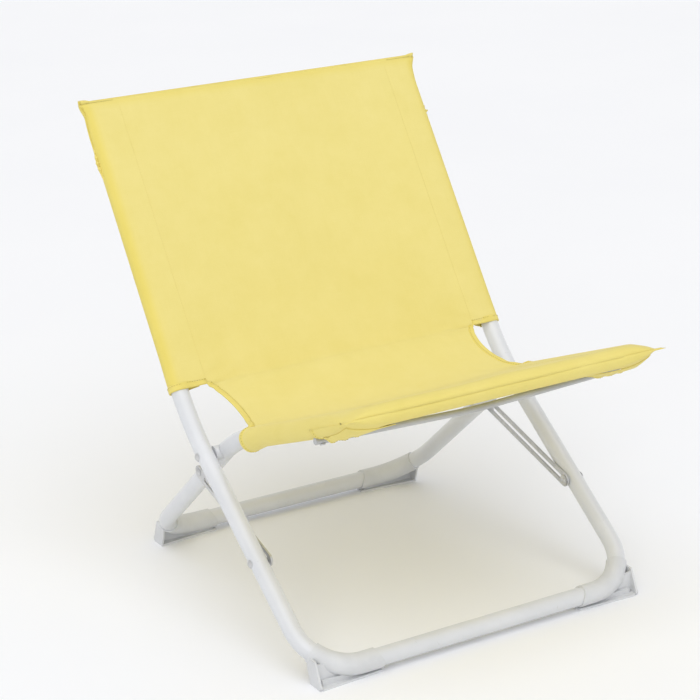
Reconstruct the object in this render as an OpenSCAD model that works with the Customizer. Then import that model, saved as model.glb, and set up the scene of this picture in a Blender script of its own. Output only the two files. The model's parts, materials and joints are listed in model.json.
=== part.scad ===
// Low folding camp chair: two crossed tube frames, slotted stays and a one-piece sling.
// Millimetres, +Z up. Z = 0 is the floor, X = 0 the symmetry plane, the sitter faces -Y.
// The back frame (front floor bar to top bar) carries the hinge; the seat frame folds in it.

/* [Tubes] */
// outside diameter of both bent frame tubes
tube_d = 25; // [19:0.5:32]
// wall thickness of the frame tubes
tube_wall = 1.2; // [0.8:0.1:2]
// centreline radius of the two bends at each floor bar
floor_bend_r = 72; // [50:1:90]
// centreline radius of the bends at the top bar and the seat's front bar
end_bend_r = 48; // [38:1:80]
// height of the floor bars' centreline above the floor
bar_height = 19; // [16:0.5:26]

/* [Back frame] */
// half the spacing of the side tubes' centrelines
back_half = 258.5; // [220:0.5:300]
// slope of the lower side tubes above the floor, degrees
back_low_slope = 36.5; // [30:0.1:45]
// slope of the upper side tubes above the floor, degrees
back_high_slope = 56.2; // [50:0.1:70]
// distance along the lower side tube from floor bar to the middle of the side bend
back_corner = 409; // [350:1:450]
// centreline radius of the side bend
back_bend_r = 367; // [200:1:500]
// length from the side bend's corner to the top bar's centreline
back_upper = 475; // [380:1:560]

/* [Seat frame] */
// half the spacing of the seat rails' centrelines
seat_half = 227; // [190:0.5:250]
// distance from rear floor bar to the pivot along the rear leg
rear_leg = 328.5; // [260:0.5:380]
// distance from the pivot to the corner of the side bend
seat_corner = 40; // [25:1:80]
// slope of the seat rails above the floor, degrees
rail_slope = 21.5; // [10:0.5:30]
// centreline radius of the side bend
seat_bend_r = 280; // [120:1:400]
// length from the side bend's corner to the front bar's centreline
rail_len = 335; // [260:1:400]

/* [Pivot and stays] */
// distance from the front floor bar to the pivot along the back frame's tube
pivot_at = 356.7; // [300:0.1:400]
// shank diameter of every frame rivet
rivet_d = 6; // [5:0.5:8]
// bore for a rivet, with running clearance
rivet_bore = 6.1; // [5.1:0.1:8.2]
// head diameter of every frame rivet
rivet_head_d = 12; // [9:0.5:16]
// height of a domed rivet head
rivet_head_h = 3; // [2:0.5:4]
// outside diameter of the pivot spacer
spacer_d = 21; // [16:0.5:24]
// distance from the pivot to the stay rivet along the rear leg
stay_rivet_at = 71.4; // [50:0.1:100]
// distance from the pivot to the slide rivet down the back frame's tube
slide_at = 177.4; // [140:0.1:220]
// width of the stay plate
stay_w = 19; // [14:0.5:24]
// thickness of the stay plate
stay_t = 2.5; // [1.5:0.5:3.5]
// width of the long slot in the stay
slot_w = 6.8; // [6.2:0.1:9]
// distance between the stay's outer face and the back frame's tube
stay_gap = 1.9; // [1:0.1:3]

/* [Support bar] */
// diameter of the thin bar under the seat rails
bar_d = 9; // [6:0.5:12]
// distance of the bar from the seat's side bend along the rails
bar_at = 252; // [180:1:300]
// slope of the bar's halves, which dip toward the middle, degrees
bar_slope = 1.9; // [0.5:0.1:4]
// centreline radius of the bend in the bar's middle
bar_bend_r = 1000; // [300:50:1500]

/* [Feet] */
// wall of the moulded sleeve around the tube
foot_wall = 2; // [1.5:0.1:3]
// distance of the foot's outer face from the symmetry plane, inside the side tube's centreline
foot_inset = 1.5; // [0:0.5:6]
// length of sleeve on the straight floor bar
foot_bar_len = 26; // [15:1:45]
// how far round the bend the sleeve reaches, degrees
foot_bend = 58; // [40:1:80]

/* [Sling] */
// thickness of the sling solids
cloth_t = 1.5; // [1:0.1:4]
// start of the back panel above the side bend's corner
back_hem = 55; // [30:1:120]
// start of the seat panel in front of the seat's side bend
seat_hem = 96; // [60:1:160]
// half width of the web between the two side cut-outs
web_half = 205; // [150:1:215]

/* [Hidden] */
tube_r = tube_d / 2;
bore_r = tube_r - tube_wall;
gap = 0.3;
eps = 0.05;
pipe_fn = 96;
bend_fn = 480;
pivot_y = pivot_at * cos(back_low_slope);
pivot_z = bar_height + pivot_at * sin(back_low_slope);
rear_slope = asin((pivot_z - bar_height) / rear_leg);
rear_y = pivot_y + rear_leg * cos(rear_slope);
back_turn = back_high_slope - back_low_slope;
seat_turn = rear_slope - rail_slope;
weld_gap = 0.02;
seat_leg = rear_leg + seat_corner;
top_bar_y = back_corner * cos(back_low_slope) + back_upper * cos(back_high_slope);
front_bar_y = rear_y - seat_leg * cos(rear_slope) - rail_len * cos(rail_slope);
// the top bar and the seat's front bar stand equally far from Y = 0
y_shift = -(top_bar_y + front_bar_y) / 2;
// the sling lies on the tubes' front and upper sides
cloth_off = tube_r + gap;
stay_x = back_half - tube_r - stay_gap - stay_t;
slide_len = sqrt(pow(stay_dy(), 2) + pow(stay_dz(), 2));
stay_slope = atan2(stay_dz(), stay_dy());
slot_start = 20;
collar_d = 10.5;
// support-bar screws and their bores
screw_d = 4;
screw_bore = 4.1;
// clearance between a leg and what is saddled to it, also right at the side bend
saddle_gap = 0.3;

// the node list that the packer reads

// stay rivet and slide rivet, as Y and Z offsets of the pin seen from the rivet
function stay_rivet_y() = pivot_y + stay_rivet_at * cos(rear_slope);
function stay_rivet_z() = pivot_z - stay_rivet_at * sin(rear_slope);
function slide_y() = pivot_y - slide_at * cos(back_low_slope);
function slide_z() = pivot_z - slide_at * sin(back_low_slope);
function stay_dy() = slide_y() - stay_rivet_y();
function stay_dz() = slide_z() - stay_rivet_z();

module paint_steel() { color([0.93, 0.93, 0.92]) children(); }
module paint_plastic() { color([0.86, 0.86, 0.85]) children(); }
module paint_zinc() { color([0.78, 0.79, 0.8]) children(); }
module paint_cloth() { color([0.94, 0.88, 0.55]) children(); }

module both_sides() {
    children();
    mirror([1, 0, 0]) children();
}

// ring section of a pipe, drawn for revolving or extruding
module ring(outer, inner) {
    difference() {
        circle(r = outer, $fn = pipe_fn);
        circle(r = inner, $fn = pipe_fn);
    }
}

// straight pipe from the origin along +Y
module pipe_y(length, outer, inner) {
    rotate([-90, 0, 0]) linear_extrude(length) ring(outer, inner);
}

// straight pipe from the origin along +X
module pipe_x(length, outer, inner) {
    rotate([0, 90, 0]) linear_extrude(length) ring(outer, inner);
}

// bend in the XY plane that turns a +X bar at Y = 0 into a +Y leg
module corner_pipe(half, r, outer, inner) {
    translate([half - r, r, 0])
        rotate([0, 0, -90])
            rotate_extrude(angle = 90, $fn = pipe_fn) translate([r, 0]) ring(outer, inner);
}

// bend in the YZ plane that starts along +Y at the origin and turns up by the angle
module side_pipe(r, turn, outer, inner) {
    translate([0, 0, r])
        rotate([0, 90, 0])
            rotate_extrude(angle = turn, $fn = bend_fn) translate([r, 0]) ring(outer, inner);
}

// a floor bar with both bends, both legs and both side bends
module lower_u(half, corner, turn, bend_r, outer, inner) {
    lead = bend_r * tan(turn / 2);
    leg = corner - lead - floor_bend_r;
    translate([-(half - floor_bend_r), 0, 0])
        pipe_x(2 * (half - floor_bend_r), outer, inner);
    both_sides() {
        corner_pipe(half, floor_bend_r, outer, inner);
        translate([half, floor_bend_r, 0]) {
            pipe_y(leg, outer, inner);
            translate([0, leg, 0]) side_pipe(bend_r, turn, outer, inner);
        }
    }
}

// upper sides with two bends and the end bar, welded to the lower tube's ends;
// the children are bored out of both side tubes
module upper_u(half, corner, turn, bend_r, upper) {
    lead = bend_r * tan(turn / 2) + weld_gap;
    translate([0, corner, 0]) rotate([turn, 0, 0]) {
        translate([-(half - end_bend_r), upper, 0])
            pipe_x(2 * (half - end_bend_r), tube_r, bore_r);
        both_sides() {
            difference() {
                translate([half, lead, 0])
                    pipe_y(upper - end_bend_r - lead - weld_gap, tube_r, bore_r);
                children();
            }
            translate([0, upper, 0]) mirror([0, 1, 0])
                corner_pipe(half, end_bend_r, tube_r, bore_r);
        }
    }
}

// the back frame's plane, +Y up the lower side tubes from the front floor bar
module back_plane() {
    translate([0, y_shift, bar_height]) rotate([back_low_slope, 0, 0]) children();
}

// the seat frame's plane, +Y up the rear legs from the rear floor bar
module seat_plane() {
    translate([0, y_shift + rear_y, bar_height])
        rotate([180 - rear_slope, 0, 0]) children();
}

// a cylinder along X from x0 to x1, at Y and Z measured from the front floor bar
module rod_x(x0, x1, y, z, d) {
    translate([x0, y_shift + y, z])
        rotate([0, 90, 0]) cylinder(h = x1 - x0, d = d, $fn = 48);
}

// low domed head along +X, standing on the plane at x
module head_x(x, y, z, side) {
    dome_r = (pow(rivet_head_d / 2, 2) + pow(rivet_head_h, 2)) / (2 * rivet_head_h);
    translate([x, y_shift + y, z])
        rotate([0, side * 90, 0])
            intersection() {
                translate([0, 0, rivet_head_h - dome_r]) sphere(r = dome_r, $fn = 64);
                cylinder(h = rivet_head_h + 1, d = rivet_head_d, $fn = 48);
            }
}

module back_tube_lower() {
    paint_steel()
    difference() {
        back_plane()
            lower_u(back_half, back_corner, back_turn, back_bend_r, tube_r, bore_r);
        rod_x(-back_half - 20, back_half + 20, pivot_y, pivot_z, rivet_bore);
        rod_x(-back_half - 20, back_half + 20, slide_y(), slide_z(), rivet_bore);
    }
}

module back_tube_upper() {
    paint_steel()
        back_plane() upper_u(back_half, back_corner, back_turn, back_bend_r, back_upper);
}

module seat_tube_rear() {
    paint_steel()
    difference() {
        seat_plane()
            lower_u(seat_half, seat_leg, seat_turn, seat_bend_r, tube_r, bore_r);
        rod_x(-seat_half - 20, seat_half + 20, pivot_y, pivot_z, rivet_bore);
        rod_x(-seat_half - 20, seat_half + 20, stay_rivet_y(), stay_rivet_z(), rivet_bore);
    }
}

module seat_tube_front() {
    paint_steel()
    seat_plane()
        upper_u(seat_half, seat_leg, seat_turn, seat_bend_r, rail_len)
            translate([seat_half, bar_at, 2]) cylinder(h = 16, d = screw_bore, $fn = 32);
}

// pivot rivet: shank through both side tubes, a domed head at each end
module pivot_rivets() {
    outer_x = back_half + tube_r;
    inner_x = seat_half - tube_r;
    paint_zinc()
    both_sides() {
        rod_x(inner_x - gap, outer_x + eps, pivot_y, pivot_z, rivet_d);
        head_x(outer_x + 0.02, pivot_y, pivot_z, 1);
        head_x(inner_x - gap + 0.02, pivot_y, pivot_z, -1);
    }
}

// slide rivet: held in the back frame's tube, its shank ends short of the stay
module slide_rivets() {
    outer_x = back_half + tube_r;
    paint_zinc()
    both_sides() {
        rod_x(back_half - tube_r - 0.4, outer_x + eps, slide_y(), slide_z(), rivet_d);
        head_x(outer_x + 0.02, slide_y(), slide_z(), 1);
    }
}

// stay rivet: through the rear leg and the stay's round end
module stay_rivets() {
    inner_x = seat_half - tube_r;
    outer_x = stay_x + stay_t;
    paint_zinc()
    both_sides() {
        rod_x(inner_x - gap, outer_x + gap, stay_rivet_y(), stay_rivet_z(), rivet_d);
        head_x(inner_x - gap + 0.02, stay_rivet_y(), stay_rivet_z(), -1);
        head_x(outer_x + gap - 0.02, stay_rivet_y(), stay_rivet_z(), 1);
        // collar that keeps the stay off the leg
        difference() {
            rod_x(seat_half, stay_x - gap, stay_rivet_y(), stay_rivet_z(), collar_d);
            seat_plane() solid_leg();
        }
    }
}

// one seat-frame leg without its bore, used to shape what sits against it
module solid_leg() {
    translate([seat_half, 0, 0]) rotate([-90, 0, 0])
        cylinder(h = seat_leg + 60, r = tube_r + saddle_gap, $fn = pipe_fn);
}

// moulded spacer on the pivot, saddled to the seat frame's tube
module pivot_spacers() {
    paint_plastic()
    both_sides()
    difference() {
        rod_x(seat_half + 4, back_half - tube_r - gap, pivot_y, pivot_z, spacer_d);
        rod_x(seat_half, back_half, pivot_y, pivot_z, rivet_bore);
        seat_plane() solid_leg();
    }
}

// flat stay with round ends, a bore at the rivet and a long slot for the slide pin
module stay() {
    end_r = stay_w / 2;
    translate([stay_x, y_shift + stay_rivet_y(), stay_rivet_z()])
        rotate([stay_slope, 0, 0])
            rotate([90, 0, 90])
                linear_extrude(stay_t)
                    difference() {
                        union() {
                            circle(r = end_r, $fn = 64);
                            translate([0, -end_r]) square([slide_len, stay_w]);
                            translate([slide_len, 0]) circle(r = end_r, $fn = 64);
                        }
                        circle(d = rivet_bore, $fn = 48);
                        translate([slot_start, -slot_w / 2])
                            square([slide_len - slot_start, slot_w]);
                        translate([slot_start, 0]) circle(d = slot_w, $fn = 48);
                        translate([slide_len, 0]) circle(d = slot_w, $fn = 48);
                    }
}

module stay_left() { paint_zinc() mirror([1, 0, 0]) stay(); }
module stay_right() { paint_zinc() stay(); }

// slide pin: a headed stud that runs in the slot of the stay
module slide_pin() {
    rod_x(stay_x - gap - eps, stay_x + stay_t + 0.6, slide_y(), slide_z(), rivet_d);
    head_x(stay_x - gap, slide_y(), slide_z(), -1);
    head_rim();
}

// thin washer between the pin's head and the stay
module head_rim() {
    rod_x(stay_x - 2 * gap - 0.8, stay_x - gap, slide_y(), slide_z(), rivet_head_d + 3);
}

module slide_pin_left() { paint_zinc() mirror([1, 0, 0]) slide_pin(); }
module slide_pin_right() { paint_zinc() slide_pin(); }

// the seat's upper plane, +Y forward along the rails, +Z toward the underside
module rail_place() {
    seat_plane() translate([0, seat_leg, 0]) rotate([seat_turn, 0, 0]) children();
}

// rod bend in the YZ plane that starts along +Y at the origin and turns up by the angle
module side_rod(r, turn, d) {
    translate([0, 0, r])
        rotate([0, 90, 0])
            rotate_extrude(angle = turn, $fn = bend_fn) translate([r, 0]) circle(d = d, $fn = 48);
}

// thin bar that dips between the rails, fixed under them by one screw at each end
module support_bar() {
    drop = tube_r + bar_d / 2 + 0.1;
    end_len = 10;
    bow_x = bar_bend_r * sin(bar_slope);
    bow_z = bar_bend_r * (1 - cos(bar_slope));
    dip = bow_z + (seat_half - bow_x) * tan(bar_slope);
    paint_steel()
    difference() {
        rail_place() translate([0, bar_at, drop + dip])
            both_sides() {
                rotate([0, 0, -90]) mirror([0, 0, 1]) side_rod(bar_bend_r, bar_slope, bar_d);
                translate([bow_x, 0, -bow_z]) rotate([0, 90 + bar_slope, 0])
                    cylinder(h = (seat_half + end_len - bow_x) / cos(bar_slope), d = bar_d,
                             $fn = 48);
            }
        both_sides() screw_place() translate([0, 0, 8])
            cylinder(h = 20, d = screw_bore, $fn = 32);
    }
}

// axis of a support-bar screw, from inside the rail out through its underside
module screw_place() {
    rail_place() translate([seat_half, bar_at, 2]) children();
}

module support_screws() {
    shank = tube_r + bar_d + 0.2 - 2;
    paint_zinc()
    both_sides() screw_place() {
        translate([0, 0, 6]) cylinder(h = shank - 6 + eps, d = screw_d, $fn = 32);
        translate([0, 0, shank]) cylinder(h = 1.6, d1 = 8.5, d2 = 7, $fn = 40);
    }
}

// tube envelope at a floor bar's bend, used to bore the feet
module foot_tube(half, r) {
    translate([half - floor_bend_r - 60, 0, 0]) rotate([0, 90, 0])
        cylinder(h = 60, r = r, $fn = pipe_fn);
    translate([half - floor_bend_r, floor_bend_r, 0])
        rotate([0, 0, -90])
            rotate_extrude(angle = 90, $fn = pipe_fn)
                translate([floor_bend_r, 0]) circle(r = r, $fn = pipe_fn);
}

// moulded foot on the +X side of a frame whose side tubes rise toward +Y at the slope
module foot(half, slope) {
    outer = tube_r + 0.1 + foot_wall;
    inner = tube_r + 0.1;
    wall_x = half - foot_inset;
    heel_x = half - floor_bend_r - foot_bar_len;
    wall_t = 3;
    difference() {
        union() {
            // sleeve around the straight bar and the bend
            translate([0, 0, bar_height]) rotate([slope, 0, 0]) {
                translate([heel_x, 0, 0]) rotate([0, 90, 0])
                    cylinder(h = foot_bar_len, r = outer, $fn = pipe_fn);
                translate([half - floor_bend_r, floor_bend_r, 0])
                    rotate([0, 0, -90])
                        rotate_extrude(angle = foot_bend, $fn = pipe_fn)
                            translate([floor_bend_r, 0]) circle(r = outer, $fn = pipe_fn);
            }
            // floor flange, wider at the outer end
            linear_extrude(3)
                polygon([[heel_x, -6], [wall_x - 5, -11], [wall_x, -6],
                         [wall_x, 17], [heel_x, 8]]);
            // rib from flange to sleeve
            translate([heel_x + 2, -2, 1]) cube([wall_x - heel_x - 10, 4, 9]);
            // recessed web in the corner
            translate([0, 5.5, 0]) rotate([90, 0, 0]) linear_extrude(3)
                polygon([[heel_x + 6, 2], [wall_x - 1, 2], [wall_x - 1, 33],
                         [wall_x - 22, 28], [wall_x - 50, 16], [heel_x + 6, 8]]);
            // narrow end wall with a rounded toe
            translate([wall_x - wall_t, 0, 0]) rotate([90, 0, 90]) linear_extrude(wall_t)
                union() {
                    polygon([[-6, 0], [16, 0], [28, 38], [3, 37], [-11, 5]]);
                    translate([-6, 5]) circle(r = 5, $fn = 40);
                }
        }
        translate([0, 0, bar_height]) rotate([slope, 0, 0]) foot_tube(half, inner);
        // slanted heel end
        translate([heel_x, 0, bar_height]) rotate([0, 28, 0])
            translate([-40, -40, -10]) cube([40, 80, 60]);
    }
}

module front_foot() { translate([0, y_shift, 0]) foot(back_half, back_low_slope); }
module rear_foot() {
    translate([0, y_shift + rear_y, 0]) mirror([0, 1, 0]) foot(seat_half, rear_slope);
}
module front_foot_left() { paint_plastic() mirror([1, 0, 0]) front_foot(); }
module front_foot_right() { paint_plastic() front_foot(); }
module rear_foot_left() { paint_plastic() mirror([1, 0, 0]) rear_foot(); }
module rear_foot_right() { paint_plastic() rear_foot(); }

// back panel on the front side of the upper side tubes
module sling_back() {
    paint_cloth()
    back_plane() translate([0, back_corner, 0]) rotate([back_turn, 0, 0])
        translate([-back_half - tube_r, back_hem, cloth_off])
            cube([2 * (back_half + tube_r), back_upper + tube_r - back_hem, cloth_t]);
}

// seat panel on the upper side of the rails
module sling_seat() {
    paint_cloth()
    rail_place()
        translate([-seat_half - tube_r, seat_hem, -cloth_off - cloth_t])
            cube([2 * (seat_half + tube_r), rail_len + tube_r - seat_hem, cloth_t]);
}

// points of the sling between the panels, in Y and Z from the front floor bar
function back_point(along, off) = [
    (back_corner * cos(back_low_slope)) + along * cos(back_high_slope)
        - off * sin(back_high_slope),
    bar_height + back_corner * sin(back_low_slope) + along * sin(back_high_slope)
        + off * cos(back_high_slope)
];
function rail_point(along, off) = [
    rear_y - seat_leg * cos(rear_slope) - along * cos(rail_slope) + off * sin(rail_slope),
    bar_height + seat_leg * sin(rear_slope) + along * sin(rail_slope)
        + off * cos(rail_slope)
];
// point on a smooth curve from the seat panel to the back panel, t from 0 to 1
function web_point(t, off) =
    let (a = rail_point(seat_hem - 2, cloth_off + off), d = back_point(back_hem - 2, cloth_off + off),
         b = rail_point(seat_hem - 70, cloth_off + off), c = back_point(back_hem - 60, cloth_off + off))
    pow(1 - t, 3) * a + 3 * pow(1 - t, 2) * t * b + 3 * (1 - t) * t * t * c + pow(t, 3) * d;

// web that joins seat and back panel between the side cut-outs
module sling_web() {
    steps = 10;
    lower = [for (i = [0 : steps]) web_point(i / steps, 0)];
    upper = [for (i = [steps : -1 : 0]) web_point(i / steps, cloth_t)];
    paint_cloth()
    translate([-web_half, y_shift, 0]) rotate([90, 0, 90])
        linear_extrude(2 * web_half) polygon(concat(lower, upper));
}

back_tube_lower();
back_tube_upper();
front_foot_left();
front_foot_right();
pivot_rivets();
slide_rivets();
sling_back();
seat_tube_rear();
seat_tube_front();
rear_foot_left();
rear_foot_right();
pivot_spacers();
stay_rivets();
support_bar();
support_screws();
sling_seat();
sling_web();
stay_left();
stay_right();
slide_pin_left();
slide_pin_right();
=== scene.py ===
"""Looks of the low folding camp chair: sewn sling, lacquered tube, feet and studio."""
import json
from math import acos, atan2, cos, hypot, pi, radians, sin, sqrt

import bpy
from mathutils import Matrix, Vector, noise


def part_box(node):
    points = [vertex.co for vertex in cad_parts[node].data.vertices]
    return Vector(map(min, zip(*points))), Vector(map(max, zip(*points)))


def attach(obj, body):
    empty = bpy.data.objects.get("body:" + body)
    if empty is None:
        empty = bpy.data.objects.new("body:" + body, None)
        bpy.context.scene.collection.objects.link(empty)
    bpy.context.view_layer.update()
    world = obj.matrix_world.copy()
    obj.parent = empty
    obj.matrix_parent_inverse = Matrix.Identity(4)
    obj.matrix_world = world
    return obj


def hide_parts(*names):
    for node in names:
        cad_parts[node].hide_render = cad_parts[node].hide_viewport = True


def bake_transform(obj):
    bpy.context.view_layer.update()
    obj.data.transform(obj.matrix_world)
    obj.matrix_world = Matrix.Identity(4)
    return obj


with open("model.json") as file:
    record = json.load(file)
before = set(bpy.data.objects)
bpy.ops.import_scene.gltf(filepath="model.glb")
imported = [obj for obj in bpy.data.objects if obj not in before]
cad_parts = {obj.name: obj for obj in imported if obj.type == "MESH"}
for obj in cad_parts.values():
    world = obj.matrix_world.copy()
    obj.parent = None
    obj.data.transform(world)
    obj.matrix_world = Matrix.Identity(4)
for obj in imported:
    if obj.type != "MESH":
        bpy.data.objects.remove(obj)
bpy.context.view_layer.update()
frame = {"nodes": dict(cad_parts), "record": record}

# ---------------------------------------------------------------- sizes, metres
MM = 0.001
TUBE_R = 12.5 * MM          # frame tube radius
CLOTH_GAP = 0.3 * MM        # clearance between a tube and the CAD panel
PANEL_T = 1.5 * MM          # thickness of the CAD panels
CLOTH_T = 0.9 * MM          # thickness given to the cloth
WRAP_R = TUBE_R + 0.9 * MM  # radius of the cloth's middle where it wraps a tube
SEAM_IN = 37 * MM           # sleeve seam, inward from the tube's axis
CAP_DEPTH = 82 * MM         # depth of the end pockets behind each end bar
FLAP_DEPTH = 64 * MM        # loose cloth under the seat's front corners
FLAP_WIDTH = 69 * MM
CORNER_R = 48 * MM          # centreline radius of the end bars' bends
EAR_REACH = 32 * MM         # from that centreline out to the pinched corner
THREAD_R = 0.28 * MM        # radius of the sewing thread
SEAM_DROP = 1.6 * MM        # sleeve seam, below the cloth's line on the tube
OVERLAP = 1.1 * MM          # how far the end pockets lie outside the sleeves
POCKET_TAPER = 40 * MM      # length over which the top corners flatten
POCKET_SHIFT = 10.0 * MM    # how far the flattened top corner moves forward
TOP_EAR = 5.5 * MM          # extra width at the ends of the top bar
FRONT_EAR = 4.5 * MM        # extra width at the ends of the front bar
SEAT_SAG = 8 * MM
BACK_SAG = 7 * MM
TINY = 1e-9                 # rounding allowance when distances are compared
SLOPE_PASSES = 20           # steps that settle a panel's slope


# ---------------------------------------------------------------- the two tube planes
def panel_line(node, forward):
    """(start, direction, normal, length) in (y, z) of the tube line under a CAD panel.

    forward is +1 for a panel that rises toward +Y and -1 for one that rises toward -Y.
    """
    low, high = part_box(node)
    run, rise = high[1] - low[1], high[2] - low[2]
    slope = atan2(rise, run)
    for _ in range(SLOPE_PASSES):
        slope = atan2(rise - PANEL_T * cos(slope), run - PANEL_T * sin(slope))
    length = hypot(run - PANEL_T * sin(slope), rise - PANEL_T * cos(slope))
    direction = Vector((forward * cos(slope), sin(slope)))
    normal = Vector((-forward * sin(slope), cos(slope)))
    start_y = low[1] + PANEL_T * sin(slope)
    if forward < 0:
        start_y = high[1] - PANEL_T * sin(slope)
    start = Vector((start_y, low[2])) - normal * (TUBE_R + CLOTH_GAP)
    return start, direction, normal, length


back_start, back_dir, back_nrm, back_len = panel_line("sling_back", 1)
seat_start, seat_dir, seat_nrm, seat_len = panel_line("sling_seat", -1)
BACK_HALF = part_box("back_tube_upper")[1][0] - TUBE_R
SEAT_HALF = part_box("seat_tube_front")[1][0] - TUBE_R
BACK_BAR = back_len - TUBE_R
SEAT_BAR = seat_len - TUBE_R
BACK_HEM = -5 * MM          # lower end of the back's sleeves, along the tube
SEAT_HEM = -48 * MM         # rear end of the seat's sleeves, along the tube


def back_at(along, off):
    return back_start + back_dir * along + back_nrm * off


def seat_at(along, off):
    return seat_start + seat_dir * along + seat_nrm * off


# ---------------------------------------------------------------- small helpers
def clamp(x, low=0.0, high=1.0):
    return max(low, min(high, x))


def smooth(x, low, high):
    t = clamp((x - low) / (high - low))
    return t * t * (3 - 2 * t)


def bump(x, centre, width):
    t = (x - centre) / width
    return max(0.0, 1 - t * t) ** 2


def ripple(x, y, seed, size):
    return noise.noise(Vector((x / size + seed, y / size - seed, seed * 1.7)))


def point3(x, yz):
    return Vector((x, yz[0], yz[1]))


def new_mesh(name, verts, faces, uvs=None, values=None):
    mesh = bpy.data.meshes.new(name)
    mesh.from_pydata([tuple(v) for v in verts], [], faces)
    mesh.validate()
    if uvs:
        layer = mesh.uv_layers.new(name="cloth")
        for loop in mesh.loops:
            layer.data[loop.index].uv = uvs[loop.vertex_index]
    if values:
        for key, numbers in values.items():
            attribute = mesh.attributes.new(key, "FLOAT", "POINT")
            attribute.data.foreach_set("value", numbers)
    for polygon in mesh.polygons:
        polygon.use_smooth = True
    obj = bpy.data.objects.new(name, mesh)
    bpy.context.scene.collection.objects.link(obj)
    return obj


def thicken(name, grid, faces, thickness, uvs, values):
    """Closed shell from a one-layer mesh: both sides offset by half the thickness, rims joined."""
    count = len(grid)
    normals = [Vector((0, 0, 0)) for _ in grid]
    for face in faces:
        a, b, c, d = [grid[i] for i in face]
        n = (c - a).cross(d - b)
        for i in face:
            normals[i] += n
    for n in normals:
        if n.length > 0:
            n.normalize()
    half = thickness / 2
    verts = [p + n * half for p, n in zip(grid, normals)]
    verts += [p - n * half for p, n in zip(grid, normals)]
    whole = [tuple(face) for face in faces]
    whole += [tuple(i + count for i in reversed(face)) for face in faces]
    uses = {}
    for face in faces:
        for i in range(4):
            edge = (face[i], face[(i + 1) % 4])
            uses[edge] = uses.get(edge, 0) + 1
    for (a, b) in list(uses):
        if (b, a) not in uses:
            whole.append((b, a, a + count, b + count))
    both = {key: list(numbers) * 2 for key, numbers in values.items()}
    return new_mesh(name, verts, whole, list(uvs) * 2, both)


# ---------------------------------------------------------------- the cloth's spine
WEB_SEAT_PULL = 33 * MM     # handles of the web's curve at seat and back
WEB_BACK_PULL = 9 * MM
WEB_STEPS = 40              # pieces in which the curve is measured
WEB_EDGE = 222 * MM         # half width of the web at the sleeve hems
WEB_WAIST = 14 * MM         # depth of the side cut-outs below that
WEB_FLARE = 4.5 * MM        # the cut-outs end wider where they meet the seat


def web_at(t):
    a = seat_at(SEAT_HEM, WRAP_R)
    b = seat_at(SEAT_HEM - WEB_SEAT_PULL, WRAP_R)
    c = back_at(BACK_HEM - WEB_BACK_PULL, WRAP_R)
    d = back_at(BACK_HEM, WRAP_R)
    return (1 - t) ** 3 * a + 3 * (1 - t) ** 2 * t * b + 3 * (1 - t) * t * t * c + t ** 3 * d


WEB_LEN = sum((web_at((i + 1) / WEB_STEPS) - web_at(i / WEB_STEPS)).length
              for i in range(WEB_STEPS))
ARC_LEN = WRAP_R * pi / 2
SEAT_RUN = SEAT_BAR - SEAT_HEM
BACK_RUN = BACK_BAR - BACK_HEM
LIP_RUN = 9.5 * MM          # cloth past the top bar, up to its seam
# distances along the cloth from the front seam
R_SEAT = ARC_LEN
R_WEB = R_SEAT + SEAT_RUN
R_BACK = R_WEB + WEB_LEN
R_BAR = R_BACK + BACK_RUN
R_TOP = R_BAR + LIP_RUN


def web_half(r):
    t = clamp((r - R_WEB) / WEB_LEN)
    flare = WEB_FLARE * (1 - smooth(t, 0.0, 0.16))
    return WEB_EDGE + flare - WEB_WAIST * sin(pi * t) ** 1.3


def drape(r, x):
    """How far the cloth stands off its flat line, along its normal."""
    across = clamp(1 - (x / SEAT_HALF) ** 2)
    seat = smooth(r, R_SEAT, R_SEAT + 90 * MM) * (1 - smooth(r, R_WEB - 30 * MM, R_WEB + WEB_LEN))
    back = smooth(r, R_BACK - 20 * MM, R_BACK + 120 * MM) * (1 - smooth(r, R_BAR - 120 * MM, R_BAR))
    sag = -SEAT_SAG * across * seat - BACK_SAG * across * back
    soft = ripple(x, r, 3.1, 0.11) * 1.4 * MM + ripple(x, r, 8.4, 0.045) * 0.5 * MM
    inner = clamp(1 - abs(x) / SEAT_HALF) ** 0.5
    flat = sag + soft * inner * (1 - smooth(r, R_BAR - 15 * MM, R_BAR)) * smooth(r, 0, R_SEAT)
    # short gathers that run down from the top seam
    gather = bump(r, R_BAR - 12 * MM, 34 * MM) * ripple(x, r * 0.12, 6.6, 0.011)
    flat += 0.55 * MM * gather * (0.4 + 0.6 * smooth(abs(x), 120 * MM, 225 * MM))
    # pulls that fan out of the cut-outs' ends
    for centre, reach in ((R_WEB + 14 * MM, 42 * MM), (R_BACK - 6 * MM, 46 * MM)):
        near = bump(r, centre, reach) * smooth(abs(x), 130 * MM, 205 * MM)
        slant = (abs(x) - 215 * MM) * 0.35 + (r - centre)
        flat += 0.9 * MM * near * sin(slant / (3.4 * MM))
    # broad soft dents
    flat += 1.1 * MM * inner * ripple(x + r * 0.4, r, 12.5, 0.075)
    return flat


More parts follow.
